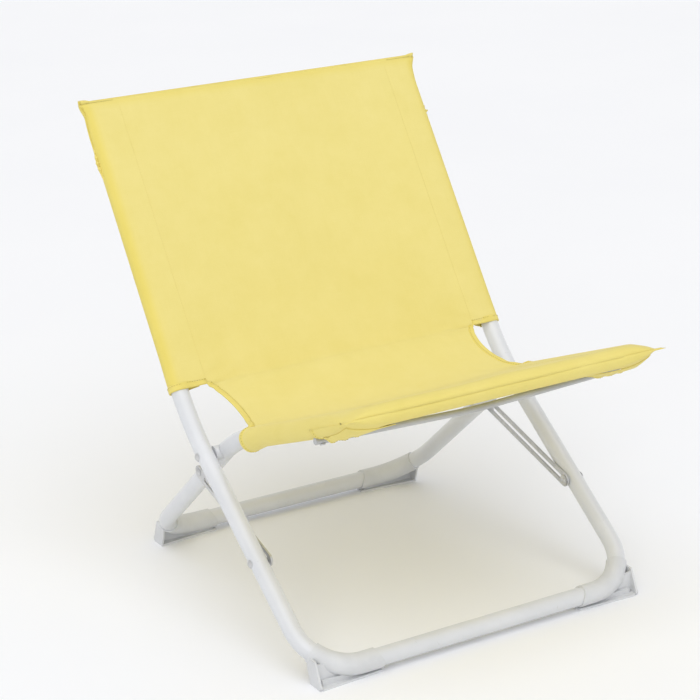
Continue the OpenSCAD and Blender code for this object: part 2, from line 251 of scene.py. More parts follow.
def spine(r):
    """(point, normal) in (y, z) of the cloth's middle line at distance r from the front seam."""
    if r <= R_SEAT:
        turn = pi / 2 * (1 - r / R_SEAT)
        along, off = SEAT_BAR + WRAP_R * sin(turn), WRAP_R * cos(turn)
        return seat_at(along, off), (seat_dir * sin(turn) + seat_nrm * cos(turn))
    if r <= R_WEB:
        return seat_at(SEAT_BAR - (r - R_SEAT), WRAP_R), seat_nrm.copy()
    if r <= R_BACK:
        t = (r - R_WEB) / WEB_LEN
        step = web_at(clamp(t + 0.01)) - web_at(clamp(t - 0.01))
        step.normalize()
        return web_at(t), Vector((-step[1], step[0]))
    if r <= R_BAR:
        return back_at(BACK_HEM + (r - R_BACK), WRAP_R), back_nrm.copy()
    past = (r - R_BAR) / LIP_RUN
    return back_at(BACK_BAR + past * LIP_RUN, WRAP_R - 1.2 * MM * past * past), back_nrm.copy()


# ---------------------------------------------------------------- sleeves
def tangent_turn(seam_in, seam_off, radius):
    """Angle past the tube's outer side where the flap leaves the tube toward its seam."""
    reach = hypot(seam_in, seam_off)
    return atan2(seam_off, -seam_in) + acos(radius / reach)


def sleeve(zone, along, q):
    """Point on a side sleeve at q past the tube's axis line, in (x, off), for the +X side."""
    half = BACK_HALF if zone == "back" else SEAT_HALF
    bar = BACK_BAR if zone == "back" else SEAT_BAR
    radius = WRAP_R
    loose = 0.0
    if zone == "seat":
        loose = 5.0 * MM * bump(along, SEAT_HEM, 50 * MM) + 1.2 * MM
    if zone == "back":
        loose = 1.5 * MM * bump(along, BACK_HEM, 60 * MM) + 0.6 * MM
    seam_off = radius - SEAM_DROP
    last = 2 * pi + pi / 2 - tangent_turn(SEAM_IN, seam_off, radius)
    arc = radius * last
    q_flap = q - arc
    turn = clamp(q, 0, arc) / radius
    # corner pocket: the section flattens toward the end seam
    if zone == "back":
        middle = POCKET_SHIFT * smooth(along, bar - POCKET_TAPER, bar + LIP_RUN)
        reach = radius + TOP_EAR * smooth(along, bar - 8 * MM, bar + LIP_RUN)
        rise = (radius - middle) if turn < pi / 2 else (radius + middle)
    else:
        ahead = max(0.0, along - bar)
        thin = sqrt(max(0.0, 1 - (ahead / radius) ** 2))
        middle = 0.0
        reach = radius + FRONT_EAR * smooth(along, bar + 2 * MM, bar + radius)
        rise = radius * thin
    x = half + reach * sin(turn)
    off = middle + rise * cos(turn)
    if turn > pi / 2:
        off -= loose * sin(turn - pi / 2) * 0.9
        x += loose * 0.4 * cos(turn - pi / 2)
    else:
        x += loose * 0.4 * sin(turn)
    if q_flap > 0:
        flap = hypot(SEAM_IN + half - x, seam_off - off)
        share = clamp(q_flap / flap)
        x += (half - SEAM_IN - x) * share
        off += (seam_off - off) * share
    return x, off


def sleeve_lengths():
    """(cloth round the tube, cloth from the tube to the seam) of a side sleeve."""
    seam_off = WRAP_R - SEAM_DROP
    last = 2 * pi + pi / 2 - tangent_turn(SEAM_IN, seam_off, WRAP_R)
    flap = sqrt(SEAM_IN ** 2 + seam_off ** 2 - WRAP_R ** 2)
    return WRAP_R * last, flap


SLEEVE_ARC, SLEEVE_FLAP = sleeve_lengths()


def seat_pinch(p):
    """Past the bend of the front bar, upper and lower cloth close toward the corner's ear."""
    yz = Vector((p[1], p[2])) - seat_start
    along, off = yz.dot(seat_dir), yz.dot(seat_nrm)
    dx = abs(p[0]) - (SEAT_HALF - CORNER_R)
    da = along - (SEAT_BAR - CORNER_R)
    if dx <= 0 or da <= 0:
        return p
    past = hypot(dx, da) - CORNER_R
    leave = WRAP_R * WRAP_R / EAR_REACH
    height = sqrt(WRAP_R ** 2 - clamp(past, 0, leave) ** 2)
    if past > leave:
        height *= max(0.02, (EAR_REACH - past) / (EAR_REACH - leave)) ** 0.7
    bare = min(abs(off), WRAP_R)
    moved = min(bare, height) + abs(off) - bare
    shift = (moved if off > 0 else -moved) - off
    return p + point3(0, seat_nrm * shift)


def cloth(r, q):
    """Point of the main cloth at r along its length and q across it, q = 0 in the middle."""
    p = open_cloth(r, q)
    return seat_pinch(p) if r < R_WEB else p


def open_cloth(r, q):
    """The same point before the front corners are closed."""
    side = 1 if q >= 0 else -1
    q = abs(q)
    base, normal = spine(r)
    zone = "back" if r >= R_BACK - TINY else "seat"
    half = BACK_HALF if zone == "back" else SEAT_HALF
    if q <= half or R_WEB + TINY < r < R_BACK - TINY:
        return point3(side * q, base + normal * drape(r, side * q))
    if zone == "back":
        along = BACK_HEM + (r - R_BACK)
        x, off = sleeve("back", along, q - half)
        lift = (base - back_at(along, WRAP_R)).dot(back_nrm)
        return point3(side * x, back_at(along, off + lift))
    if r < R_SEAT:
        along = SEAT_BAR + WRAP_R * sin(pi / 2 * (1 - r / R_SEAT))
    else:
        along = SEAT_BAR - (r - R_SEAT)
    x, off = sleeve("seat", along, q - half)
    return point3(side * x, seat_at(along, off))


def cloth_normal(r, q):
    step = 0.4 * MM
    dr = cloth(r + step, q) - cloth(r - step, q)
    dq = cloth(r, q + step) - cloth(r, q - step)
    n = dq.cross(dr)
    if n.length < 1e-12:
        return Vector((0, 0, 1))
    return n.normalized()


def painted_shade(r, q):
    """Painted shade share: 1 where the cloth lies on a tube, 0 where it is free; it darkens the sleeves'
    side faces and the cloth round both end bars.
    """
    half = BACK_HALF if r >= R_BACK else SEAT_HALF
    free = 0.85 * smooth(abs(q), half - 3 * MM, half + 11 * MM)
    if r < R_BACK:
        free *= 0.45 * (1 - smooth(r, R_WEB - 30 * MM, R_WEB))
    front = 0.4 * (1 - smooth(r, R_SEAT, R_SEAT + 14 * MM))
    return max(free, front, 0.5 * smooth(r, R_BAR - 4 * MM, R_BAR + 5 * MM))


# ---------------------------------------------------------------- main cloth
def spaced(a, b, count):
    return [a + (b - a) * i / count for i in range(count + 1)]


CENTRE_COLS = 72
ROW_STEP = 6 * MM
FRONT_ROWS, TOP_ROWS = 5, 3
EDGE_COLS, SLEEVE_COLS, FLAP_COLS = 4, 16, 5


def build_main():
    rows = spaced(0, R_SEAT, FRONT_ROWS)[:-1]
    rows += spaced(R_SEAT, R_WEB, int(SEAT_RUN / ROW_STEP))[:-1]
    rows += spaced(R_WEB, R_BACK, int(WEB_LEN / ROW_STEP))[:-1]
    rows += spaced(R_BACK, R_BAR, int(BACK_RUN / ROW_STEP))[:-1]
    rows += spaced(R_BAR, R_TOP, TOP_ROWS)
    verts, uvs, shade_share, index = [], [], [], {}

    def vertex(i, j, r, q):
        if (i, j) not in index:
            index[i, j] = len(verts)
            verts.append(cloth(r, q))
            uvs.append((q, r))
            shade_share.append(painted_shade(r, q))
        return index[i, j]

    def columns(r):
        inner = web_half(r)
        cols = {}
        for j in range(CENTRE_COLS + 1):
            cols[j - CENTRE_COLS // 2] = inner * (2 * j / CENTRE_COLS - 1)
        if r < R_WEB + TINY or r > R_BACK - TINY:
            half = BACK_HALF if r > R_BACK - TINY else SEAT_HALF
            outer = spaced(inner, half, EDGE_COLS)[1:]
            outer += [half + d for d in spaced(0, SLEEVE_ARC, SLEEVE_COLS)[1:]]
            outer += [half + SLEEVE_ARC + d for d in spaced(0, SLEEVE_FLAP, FLAP_COLS)[1:]]
            for k, q in enumerate(outer):
                cols[CENTRE_COLS // 2 + 1 + k] = q
                cols[-CENTRE_COLS // 2 - 1 - k] = -q
        return cols

    tables = [columns(r) for r in rows]
    faces = []
    for i in range(len(rows) - 1):
        low, high = tables[i], tables[i + 1]
        pocket = rows[i + 1] > R_BAR + TINY or rows[i] < R_SEAT - TINY
        for j in sorted(low):
            if j + 1 not in low or j not in high or j + 1 not in high:
                continue
            if (R_WEB - TINY < rows[i] < R_BACK - TINY) and abs(2 * j + 1) > CENTRE_COLS:
                continue
            if pocket:
                half = BACK_HALF if rows[i] > R_BACK else SEAT_HALF
                far = max(abs(low[j]), abs(low[j + 1]))
                if far > half + ARC_LEN + 1e-6:
                    continue
            a = vertex(i, j, rows[i], low[j])
            b = vertex(i, j + 1, rows[i], low[j + 1])
            c = vertex(i + 1, j + 1, rows[i + 1], high[j + 1])
            d = vertex(i + 1, j, rows[i + 1], high[j])
            faces.append((a, b, c, d))
    return thicken("sling_cloth", verts, faces, CLOTH_T, uvs, {"painted_shade": shade_share})


# ---------------------------------------------------------------- end pockets
def grid_piece(name, rows, cols, place, thickness=CLOTH_T, shade_share=1.0, flip=False):
    verts, uvs = [], []
    for r in rows:
        for q in cols:
            verts.append(place(r, q))
            uvs.append((q, r))
    wide = len(cols)
    faces = []
    for i in range(len(rows) - 1):
        for j in range(wide - 1):
            a = i * wide + j
            face = (a, a + 1, a + 1 + wide, a + wide)
            faces.append(tuple(reversed(face)) if flip else face)
    return thicken(name, verts, faces, thickness, uvs, {"painted_shade": [shade_share] * len(verts)})


def pocket_columns(half):
    flat = spaced(-half, half, 60)
    left = [-half - d for d in reversed(spaced(0, ARC_LEN, 7)[1:])]
    right = [half + d for d in spaced(0, ARC_LEN, 7)[1:]]
    return left + flat + right


def build_top_pocket():
    outer_r = WRAP_R + OVERLAP
    turn_end = radians(50)
    arc = outer_r * (pi / 2 + turn_end)

    def place(r, q):
        """r runs from the pocket's hem to the top seam, on the back of the frame."""
        side, q = (1 if q >= 0 else -1), abs(q)
        if r <= CAP_DEPTH:
            along, off = BACK_BAR - CAP_DEPTH + r, -outer_r
            off += 1.2 * MM * ripple(q * side, r, 5.5, 0.06) * (1 - r / CAP_DEPTH)
        else:
            turn = -pi / 2 + (r - CAP_DEPTH) / outer_r
            along, off = BACK_BAR + outer_r * cos(turn), outer_r * sin(turn)
        if q <= BACK_HALF:
            return point3(side * q, back_at(along, off))
        middle = POCKET_SHIFT * smooth(along, BACK_BAR - POCKET_TAPER, BACK_BAR + LIP_RUN)
        reach = outer_r + TOP_EAR * smooth(along, BACK_BAR - 8 * MM, BACK_BAR + LIP_RUN)
        t = (q - BACK_HALF) / WRAP_R
        x = BACK_HALF + reach * sin(t)
        return point3(side * x, back_at(along, middle + (off - middle) * cos(t)))

    rows = spaced(0, CAP_DEPTH, 14)[:-1] + spaced(CAP_DEPTH, CAP_DEPTH + arc, 14)
    return grid_piece("sling_top_pocket", rows, pocket_columns(BACK_HALF), place, flip=True), place


def build_front_pocket():
    arc = (WRAP_R + OVERLAP) * pi / 2

    def place(r, q):
        return seat_pinch(unpinched(r, q))

    def unpinched(r, q):
        """r runs from the pocket's hem to the front seam, under the frame."""
        side, q = (1 if q >= 0 else -1), abs(q)
        over = smooth(q, SEAT_HALF - SEAM_IN - 16 * MM, SEAT_HALF - SEAM_IN)
        outer_r = WRAP_R + OVERLAP * over
        if r <= CAP_DEPTH:
            along, off = SEAT_BAR - CAP_DEPTH + r, -outer_r
            off += 1.2 * MM * ripple(q * side, r, 2.5, 0.06) * (1 - r / CAP_DEPTH)
        else:
            turn = (r - CAP_DEPTH) / arc * (pi / 2 + 0.07)
            tuck = 0.75 * MM * smooth(turn, pi / 2 - 0.12, pi / 2)
            along = SEAT_BAR + (outer_r - tuck) * sin(turn)
            off = -(outer_r - tuck) * cos(turn)
        if q <= SEAT_HALF:
            return point3(side * q, seat_at(along, off))
        reach = outer_r + FRONT_EAR * smooth(along, SEAT_BAR + 2 * MM, SEAT_BAR + WRAP_R)
        t = (q - SEAT_HALF) / WRAP_R
        return point3(side * (SEAT_HALF + reach * sin(t)), seat_at(along, off * cos(t)))

    rows = spaced(0, CAP_DEPTH, 14)[:-1] + spaced(CAP_DEPTH, CAP_DEPTH + arc, 10)
    return grid_piece("sling_front_pocket", rows, pocket_columns(SEAT_HALF), place, shade_share=0.4), place


# ---------------------------------------------------------------- hems, lips and stitches
def strip(name, path, inward, normals, section):
    """A band with the given (inward, normal) section swept along a path."""
    verts, faces, uvs = [], [], []
    wide = len(section)
    run = 0.0
    for i, p in enumerate(path):
        if i:
            run += (path[i] - path[i - 1]).length
        for k, (a, b) in enumerate(section):
            verts.append(p + inward[i] * a + normals[i] * b)
            uvs.append((run, a + b))
    for i in range(len(path) - 1):
        for k in range(wide):
            a = i * wide + k
            b = i * wide + (k + 1) % wide
            faces.append((a, b, b + wide, a + wide))
    faces.append(tuple(reversed(range(wide))))
    faces.append(tuple(range((len(path) - 1) * wide, len(path) * wide)))
    return new_mesh(name, verts, faces, uvs, {"painted_shade": [0.6] * len(verts)})


def hem_section(width, half):
    """Outline of a folded hem: its width inward from the edge and half its thickness."""
    return [(-0.9 * MM, 0.0), (-0.5 * MM, half * 0.8), (0.8 * MM, half), (width - 1.5 * MM, half),
            (width, half * 0.45), (width, -half * 0.45), (width - 1.5 * MM, -half),
            (0.8 * MM, -half), (-0.5 * MM, -half * 0.8)]


def edge_frames(samples):
    """Points, inward directions and normals for (r, q, dr, dq) samples on the main cloth."""
    path, inward, normals = [], [], []
    for r, q, dr, dq in samples:
        p = cloth(r, q)
        step = 1.0 * MM
        n = cloth_normal(r + dr * step, q + dq * step)
        ahead = cloth(r + dr * step, q + dq * step) - p
        ahead -= n * ahead.dot(n)
        path.append(p)
        inward.append(ahead.normalized())
        normals.append(n)
    return path, inward, normals


# (place along the stitch, thickness, height) of the rings of one stitch
STITCH_RINGS = ((-0.5, 0.35, -0.2), (-0.3, 0.9, 0.5), (0, 1, 0.8), (0.3, 0.9, 0.5), (0.5, 0.35, -0.2))


def stitches(name, path, normals, length=2.6 * MM, pitch=3.9 * MM):
    """A row of short thread stitches lying on a path."""
    verts, faces = [], []
    left = pitch / 2
    ring = 6
    for i in range(len(path) - 1):
        a, b = path[i], path[i + 1]
        span = (b - a).length
        if span < TINY:
            continue
        ahead = (b - a) / span
        while left <= span:
            centre = a + ahead * left
            n = normals[i]
            side = ahead.cross(n).normalized()
            first = len(verts)
            for at, fat, lift in STITCH_RINGS:
                c = centre + ahead * length * at + n * THREAD_R * lift
                for k in range(ring):
                    w = 2 * pi * k / ring
                    verts.append(c + (side * cos(w) + n * sin(w)) * THREAD_R * fat)
            for s in range(len(STITCH_RINGS) - 1):
                for k in range(ring):
                    p = first + s * ring + k
                    q = first + s * ring + (k + 1) % ring
                    faces.append((p, q, q + ring, p + ring))
            faces.append(tuple(first + k for k in reversed(range(ring))))
            faces.append(tuple(first + (len(STITCH_RINGS) - 1) * ring + k for k in range(ring)))
            left += pitch
        left -= span
    return new_mesh(name, verts, faces)


def stitch_row(name, samples, lift=CLOTH_T / 2):
    path, _, normals = edge_frames(samples)
    path = [p + n * lift for p, n in zip(path, normals)]
    return stitches(name, path, normals)


CUT_STEPS = 48


def cut_edge(side):
    """(r, q, dr, dq) samples along one side cut-out, from the seat sleeve to the back sleeve."""
    samples = []
    for i in range(CUT_STEPS + 1):
        t = i / CUT_STEPS
        r = R_WEB + 0.4 * MM + (WEB_LEN - 0.8 * MM) * t
        q = web_half(r)
        samples.append((r, side * q, 0.0, -side))
    return samples


def sleeve_edge(side, r, dr):
    """Samples along the hem of a sleeve's open end, from the cut-out round the tube."""
    half = BACK_HALF if r > (R_WEB + R_BACK) / 2 else SEAT_HALF
    samples = []
    for q in spaced(WEB_EDGE - 1 * MM, half, 6)[:-1] + spaced(half, half + SLEEVE_ARC, 28):
        samples.append((r, side * q, dr, 0.0))
    return samples


def build_hems():
    made = []
    for side, word in ((-1, "left"), (1, "right")):
        path, inward, normals = edge_frames(cut_edge(side))
        if side < 0:
            path, inward, normals = path[::-1], inward[::-1], normals[::-1]
        band = strip("cut_hem_" + word, path, inward, normals, hem_section(8.5 * MM, 1.25 * MM))
        made.append(("web", band))
        inner = [(r, q - side * 6.5 * MM, 0.0, -side) for r, q, _, _ in cut_edge(side)]
        made.append(("web", stitch_row("cut_thread_" + word, inner, 1.3 * MM)))
        for body, r, dr in (("back", R_BACK, 1.0), ("seat", R_WEB, -1.0)):
            samples = sleeve_edge(side, r, dr)
            path, inward, normals = edge_frames(samples)
            if (side > 0) == (dr > 0):
                path, inward, normals = path[::-1], inward[::-1], normals[::-1]
            name = "%s_sleeve_hem_%s" % (body, word)
            made.append((body, strip(name, path, inward, normals, hem_section(9 * MM, 1.2 * MM))))
            inner = [(rr + dr * 7 * MM, q, dr, 0.0) for rr, q, _, _ in samples]
            made.append((body, stitch_row("%s_sleeve_thread_%s" % (body, word), inner, 1.25 * MM)))
    return made


def build_side_seams():
    """Thread lines where each side sleeve is sewn to the panel, on the front and top faces."""
    made = []
    for side, word in ((-1, "left"), (1, "right")):
        q = side * (BACK_HALF - SEAM_IN)
        rows = [(r, q, 1.0, 0.0) for r in spaced(R_BACK + 9 * MM, R_BAR - 4 * MM, 90)]
        made.append(("back", stitch_row("back_seam_" + word, rows)))
        q = side * (SEAT_HALF - SEAM_IN)
        rows = [(r, q, 1.0, 0.0) for r in spaced(R_SEAT + 4 * MM, R_WEB - 9 * MM, 60)]
        made.append(("seat", stitch_row("seat_seam_" + word, rows)))
    return made


def lip(name, path, outward, normals, heights, thick=1.7 * MM):
    """Seam allowance: a thin flange that stands off a seam, with its own height at each point."""
    verts, faces, uvs = [], [], []
    half = thick / 2
    run = 0.0
    for i, p in enumerate(path):
        if i:
            run += (path[i] - path[i - 1]).length
        h = heights[i]
        for a, b in ((-1.5 * MM, -half), (-1.5 * MM, half), (h * 0.6, half), (h, half * 0.5),
                     (h, -half * 0.5), (h * 0.6, -half)):
            verts.append(p + outward[i] * a + normals[i] * b)
            uvs.append((run, a))
    for i in range(len(path) - 1):
        for k in range(6):
            a, b = i * 6 + k, i * 6 + (k + 1) % 6
            faces.append((a, b, b + 6, a + 6))
    faces.append(tuple(reversed(range(6))))
    faces.append(tuple(range((len(path) - 1) * 6, len(path) * 6)))
    return new_mesh(name, verts, faces, uvs, {"painted_shade": [0.45] * len(verts)})


def build_top_lip():
    """The seam along the top bar, ending in a pointed ear past each corner."""
    edge = BACK_HALF + WRAP_R + 5 * MM
    path, outward, normals, heights = [], [], [], []
    for x in spaced(-edge, edge, 180):
        near = smooth(abs(x), edge - 26 * MM, edge)
        wave = ripple(x, 0, 2.2, 0.021) * 0.8 * MM
        p = back_at(BACK_BAR + LIP_RUN - 1.0 * MM, WRAP_R - 1.4 * MM + wave * 0.4)
        path.append(point3(x, p))
        tilt = 0.25 + 0.15 * ripple(x, 0, 9.7, 0.05)
        out = (back_dir * cos(tilt) + back_nrm * sin(tilt))
        side = 0.35 * near * (1 if x > 0 else -1)
        outward.append(Vector((side, out[0], out[1])).normalized())
        normals.append(Vector((0, -out[1], out[0])))
        heights.append(1.7 * MM + wave * 0.7 + 3.4 * MM * smooth(near, 0.1, 1))
    return lip("top_seam_lip", path, outward, normals, heights)


def build_front_lip():
    """The seam along the seat's front bar, ending in a pointed ear past each corner."""
    edge = SEAT_HALF + WRAP_R + 3.5 * MM
    path, outward, normals, heights = [], [], [], []
    for x in spaced(-edge, edge, 160):
        near = smooth(abs(x), edge - 14 * MM, edge)
        wave = ripple(x, 4, 6.2, 0.02) * 0.5 * MM
        p = seat_at(SEAT_BAR + WRAP_R - 0.3 * MM, wave)
        path.append(point3(x, p))
        tilt = -0.5 + 0.3 * near
        out = seat_dir * cos(tilt) + seat_nrm * sin(tilt)
        side = 0.9 * near * (1 if x > 0 else -1)
        outward.append(Vector((side, out[0], out[1])).normalized())
        normals.append(Vector((0, -out[1], out[0])))
        heights.append(-0.9 * MM + wave * 0.2 + 7.2 * MM * near)
    return lip("front_seam_lip", path, outward, normals, heights, 1.0 * MM)


def build_side_lips():
    """Seam allowances of the top pocket down both sides, ruffled at their lower ends."""
    made = []
    for side, word in ((-1, "left"), (1, "right")):
        path, outward, normals, heights = [], [], [], []
        low = BACK_BAR - 112 * MM if side < 0 else BACK_BAR - 92 * MM
        high = BACK_BAR + LIP_RUN - 2 * MM
        for along in spaced(low, high, 110):
            x, off = sleeve("back", along, WRAP_R * pi / 2)
            ruffle = bump(along, BACK_BAR - 80 * MM, 34 * MM)
            if side > 0:
                ruffle = bump(along, BACK_BAR - 78 * MM, 16 * MM)
            fold = sin(along / (1.5 * MM) + 1.5 * ripple(along, 0, 3.3, 0.009)) * ruffle
            wave = ripple(along, side, 7.7, 0.012)
            path.append(point3(side * (x - 0.6 * MM), back_at(along, off + fold * 1.9 * MM)))
            outward.append(Vector((side, 0, 0)))
            normals.append(point3(0, back_nrm))
            ear = smooth(along, BACK_BAR + 2 * MM, high)
            h = 0.5 * MM + 0.4 * MM * wave + ruffle * (4.6 + 1.3 * fold) * MM + 2.0 * MM * ear
            heights.append(h)
        made.append(("back", lip("side_seam_lip_" + word, path, outward, normals, heights, 1.5 * MM)))
    return made


def build_corner_flaps():
    """Loose turned-in cloth under the seat's two front corners, with its own hem."""
    made = []
    for side, word in ((-1, "left"), (1, "right")):

        def place(r, q, side=side):
            v = clamp(r / FLAP_DEPTH)
            u = clamp(q / FLAP_WIDTH)
            x = SEAT_HALF + 7 * MM - q
            along = SEAT_BAR + 1 * MM - r
            hang = 5.6 * MM * v ** 0.8 * smooth(u, 0.0, 0.14) * (1 - smooth(u, 0.62, 1.0))
            fold = sin(q / (3.1 * MM) + 2.4 * ripple(q, r, 4.4, 0.03)) * v * (1 - v * 0.25)
            hang += 1.25 * MM * fold * (1 - smooth(u, 0.55, 0.95)) * smooth(u, 0.02, 0.2)
            start = WRAP_R + 2.1 * MM
            if x > SEAT_HALF:
                start *= cos((x - SEAT_HALF) / start * 0.9)
            return seat_pinch(point3(side * x, seat_at(along, -start - hang)))

        rows = spaced(0, FLAP_DEPTH, 18)
        cols = spaced(0, FLAP_WIDTH, 54)
        name = "corner_flap_" + word
        flap = grid_piece(name, rows, cols, place, 1.1 * MM, 0.45, side < 0)
        made.append(("seat", flap))
        path = [place(FLAP_DEPTH, q) for q in cols]
        inward = [(place(FLAP_DEPTH - 2 * MM, q) - p).normalized() for q, p in zip(cols, path)]
        down = Vector((0, -seat_nrm[0], -seat_nrm[1]))
        band = strip("corner_flap_hem_" + word, path, inward, [down] * len(path),
                     hem_section(6 * MM, 1.1 * MM))
        made.append(("seat", band))
        row = [p + a * 4.5 * MM + down * 1.1 * MM for p, a in zip(path, inward)]
        made.append(("seat", stitches("corner_flap_thread_" + word, row, [down] * len(row))))
    return made


def build_ear_shade_threads():
    """Dark close stitching along the top seam beside each ear; its dark colour there also stands for the
    ears' painted shade.
    """
    made = []
    for side, word in ((-1, "left"), (1, "right")):
        rows = [(R_BAR + 7.4 * MM, side * q, -1.0, 0.0)
                for q in spaced(BACK_HALF - 30 * MM, BACK_HALF + 9 * MM, 40)]
        path, _, normals = edge_frames(rows)
        path = [p + n * CLOTH_T * 0.6 for p, n in zip(path, normals)]
        # painted shade: these dark stitches carry the shade beside each ear
        made.append(("back", stitches("ear_shade_thread_" + word, path, normals, 2.0 * MM, 2.3 * MM)))
    return made


def build_pocket_hems(top_place, front_place):
    made = []
    for body, place, half in (("back", top_place, BACK_HALF), ("seat", front_place, SEAT_HALF)):
        path, inward, normals = [], [], []
        edge = half + WRAP_R * pi / 2 - 1 * MM
        for q in spaced(-edge, edge, 130):
            p = place(0.0, q)
            ahead = (place(1 * MM, q) - p).normalized()
            across = (place(0.0, q + 0.5 * MM) - place(0.0, q - 0.5 * MM)).normalized()
            path.append(p)
            inward.append(ahead)
            n = across.cross(ahead)
            normals.append(-n if body == "back" else n)
        flip = path[::-1], inward[::-1], normals[::-1]
        use = (path, inward, normals) if body == "seat" else flip
        made.append((body, strip(body + "_pocket_hem", *use, hem_section(10 * MM, 1.2 * MM))))
        row = [p + a * 8 * MM + n * 1.25 * MM for p, a, n in zip(path, inward, normals)]
        made.append((body, stitches(body + "_pocket_thread", row, normals)))
    return made


# ---------------------------------------------------------------- materials
def material(name):
    mat = bpy.data.materials.new(name)
    mat.use_nodes = True
    tree = mat.node_tree
    shader = tree.nodes["Principled BSDF"]
    return mat, tree, shader


def noise_node(tree, vector, scale, detail=4.0, rough=0.55):
    made = tree.nodes.new("ShaderNodeTexNoise")
    made.inputs["Scale"].default_value = scale
    made.inputs["Detail"].default_value = detail
    made.inputs["Roughness"].default_value = rough
    tree.links.new(vector, made.inputs["Vector"])
    return made


def ramp_node(tree, source, stops):
    made = tree.nodes.new("ShaderNodeValToRGB")
    ramp = made.color_ramp
    while len(ramp.elements) < len(stops):
        ramp.elements.new(0.5)
    for element, (at, colour) in zip(ramp.elements, stops):
        element.position = at
        element.color = (*colour, 1.0)
    tree.links.new(source, made.inputs["Fac"])
    return made


def mix_colour(tree, share, a, b, mode="MIX"):
    made = tree.nodes.new("ShaderNodeMix")
    made.data_type = "RGBA"
    made.blend_type = mode
    for key, value in ((0, share), (6, a), (7, b)):
        if hasattr(value, "links"):
            tree.links.new(value, made.inputs[key])
        else:
            made.inputs[key].default_value = value
    return made.outputs[2]


def math_node(tree, operation, a, b=None):
    made = tree.nodes.new("ShaderNodeMath")
    made.operation = operation
    for key, value in ((0, a), (1, b)):
        if value is None:
            continue
        if hasattr(value, "links"):
            tree.links.new(value, made.inputs[key])
        else:
            made.inputs[key].default_value = value
    return made.outputs[0]


def bump_node(tree, height, strength, distance, before=None):
    made = tree.nodes.new("ShaderNodeBump")
    made.inputs["Strength"].default_value = strength
    made.inputs["Distance"].default_value = distance
    tree.links.new(height, made.inputs["Height"])
    if before is not None:
        tree.links.new(before, made.inputs["Normal"])
    return made.outputs["Normal"]


def to_range(tree, source, low, high):
    made = tree.nodes.new("ShaderNodeMapRange")
    made.inputs["To Min"].default_value = low
    made.inputs["To Max"].default_value = high
    tree.links.new(source, made.inputs["Value"])
    return made.outputs["Result"]


CLOTH_LIGHT = (0.87, 0.755, 0.285)
# painted shade: the deeper tone given to wrapped, folded and side-facing cloth
CLOTH_PAINTED_SHADE = (0.84, 0.70, 0.165)
YARN = 1.25 * MM            # pitch of the weave
SLUB_SCALE = (26.0, 800.0)  # slubs are long one way and fine the other


def cloth_material(name, light, shade_tone):
    mat, tree, shader = material(name)
    uv = tree.nodes.new("ShaderNodeUVMap")
    uv.uv_map = "cloth"
    place = tree.nodes.new("ShaderNodeTexCoord")
    split = tree.nodes.new("ShaderNodeSeparateXYZ")
    tree.links.new(uv.outputs["UV"], split.inputs[0])
    # plain weave: warp and weft yarns pass over each other in turn
    u = math_node(tree, "MULTIPLY", split.outputs[0], 2 * pi / YARN)
    v = math_node(tree, "MULTIPLY", split.outputs[1], 2 * pi / YARN)
    warp = math_node(tree, "SINE", u)
    weft = math_node(tree, "SINE", v)
    over = math_node(tree, "MULTIPLY", warp, weft)
    height = to_range(tree, over, 0.0, 1.0)
    height.node.inputs["From Min"].default_value = -1.0
    # slubs: single yarns that are a little thicker or paler than the others
    yarns = []
    for scale in (SLUB_SCALE, SLUB_SCALE[::-1]):
        stretch = tree.nodes.new("ShaderNodeMapping")
        stretch.inputs["Scale"].default_value = (*scale, 1.0)
        tree.links.new(uv.outputs["UV"], stretch.inputs["Vector"])
        yarns.append(noise_node(tree, stretch.outputs[0], 1.0, 1.0))
    slub = math_node(tree, "ADD", yarns[0].outputs[0], yarns[1].outputs[0])
    patch = noise_node(tree, place.outputs["Object"], 14.0, 4.0, 0.6)
    fleck = noise_node(tree, place.outputs["Object"], 60.0, 3.0, 0.6)
    shade_share = tree.nodes.new("ShaderNodeAttribute")
    shade_share.attribute_name = "painted_shade"
    # painted shade: the deeper tone is mixed in by the painted shade share
    base = mix_colour(tree, shade_share.outputs["Fac"], (*light, 1), (*shade_tone, 1))
    tone = math_node(tree, "MULTIPLY", patch.outputs[0], 0.55)
    tone = math_node(tree, "ADD", tone, math_node(tree, "MULTIPLY", fleck.outputs[0], 0.18))
    tone = math_node(tree, "ADD", tone, math_node(tree, "MULTIPLY", slub, 0.12))
    shade = to_range(tree, tone, 0.0, 1.0)
    shade.node.inputs["From Min"].default_value = 0.30
    shade.node.inputs["From Max"].default_value = 0.65
    dark = mix_colour(tree, shade, (0.955, 0.945, 0.83, 1), (1.0, 1.0, 1.0, 1))
    tinted = mix_colour(tree, 1.0, base, dark, "MULTIPLY")
    # painted shade: the weave's hollows are darkened, following the weave's height
    weave_shade = mix_colour(tree, height, (0.93, 0.925, 0.88, 1), (1.0, 1.0, 1.0, 1))
    colour = mix_colour(tree, 1.0, tinted, weave_shade, "MULTIPLY")
    tree.links.new(colour, shader.inputs["Base Color"])
    rough = to_range(tree, fleck.outputs[0], 0.74, 0.9)
    tree.links.new(rough, shader.inputs["Roughness"])
    first = bump_node(tree, height, 0.55, 0.00022)
    second = bump_node(tree, slub, 0.35, 0.00012, first)
    third = bump_node(tree, fleck.outputs[0], 0.25, 0.0006, second)
    tree.links.new(third, shader.inputs["Normal"])
    shader.inputs["Sheen Weight"].default_value = 0.12
    shader.inputs["Sheen Roughness"].default_value = 0.5
    shader.inputs["Specular IOR Level"].default_value = 0.25
    return mat


def thread_material(name, dark, light):
    mat, tree, shader = material(name)
    place = tree.nodes.new("ShaderNodeTexCoord")
    fleck = noise_node(tree, place.outputs["Object"], 900.0, 2.0)
    ramp = ramp_node(tree, fleck.outputs[0], [(0.3, dark), (0.7, light)])
    tree.links.new(ramp.outputs[0], shader.inputs["Base Color"])
    tree.links.new(bump_node(tree, fleck.outputs[0], 0.4, 0.0001), shader.inputs["Normal"])
    shader.inputs["Roughness"].default_value = 0.6
    return mat


